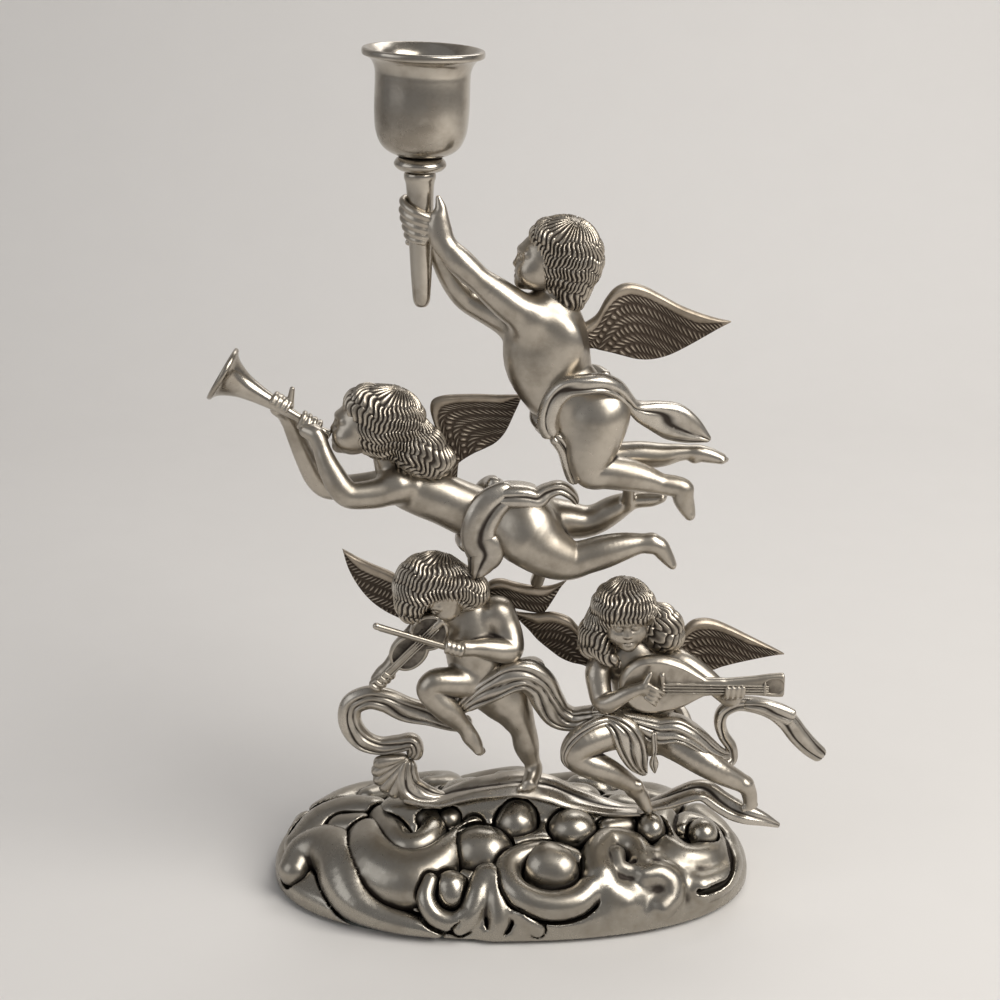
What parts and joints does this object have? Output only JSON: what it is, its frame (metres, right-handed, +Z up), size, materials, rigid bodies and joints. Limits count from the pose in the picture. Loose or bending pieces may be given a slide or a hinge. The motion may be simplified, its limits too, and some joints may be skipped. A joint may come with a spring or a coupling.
{
  "type": "figural candlestick",
  "caption": "Cast metal candlestick: cherubs with instruments rise from an oval cloud base and one holds up a torch with a candle cup.",
  "frame": {"origin": "centre of the felt pad's underside, on the table", "axes": "+Z up, +X to the viewer's right, so the front with the violin and lute players faces -Y"},
  "size_m": [0.2054, 0.0983, 0.281],
  "materials": {
    "cast_silver": "satin",
    "shaded_silver": "satin",
    "bright_silver": "gloss",
    "screw_steel": "satin",
    "grey_felt": "matte"
  },
  "bodies": {
    "candlestick": {"felt_pad": "grey_felt", "cloud_base": "shaded_silver", "base_screw_left": "screw_steel", "base_screw_right": "screw_steel", "ground_ribbon": "cast_silver", "ribbon_end": "cast_silver", "ribbon_curl": "cast_silver", "ribbon_tail": "cast_silver", "violin_cherub_body": "cast_silver", "violin_cherub_head": "shaded_silver", "violin_cherub_wing_left": "shaded_silver", "violin_cherub_wing_right": "shaded_silver", "hip_sash": "cast_silver", "violin": "cast_silver", "bow": "cast_silver", "lute_cherub_body": "cast_silver", "lute_cherub_head": "shaded_silver", "lute_cherub_wing_left": "shaded_silver", "lute_cherub_wing_right": "shaded_silver", "lap_drape": "cast_silver", "lute": "cast_silver", "trumpet_cherub_body": "cast_silver", "trumpet_cherub_head": "shaded_silver", "trumpet_cherub_wing": "shaded_silver", "trumpet_cherub_drape": "cast_silver", "trumpet": "bright_silver", "torch_cherub_body": "cast_silver", "torch_cherub_head": "shaded_silver", "torch_cherub_wing": "shaded_silver", "torch_cherub_drape": "cast_silver", "torch": "bright_silver", "cup_stud": "screw_steel"},
    "cup": {"candle_cup": "bright_silver", "cup_collar": "bright_silver"}
  },
  "joints": [
    {"name": "cup_turn", "type": "hinge", "parent": "candlestick", "child": "cup", "pos_m": [-0.0284, 0, 0.2429], "axis": [0.0436, 0, 0.999], "continuous": true}
  ]
}
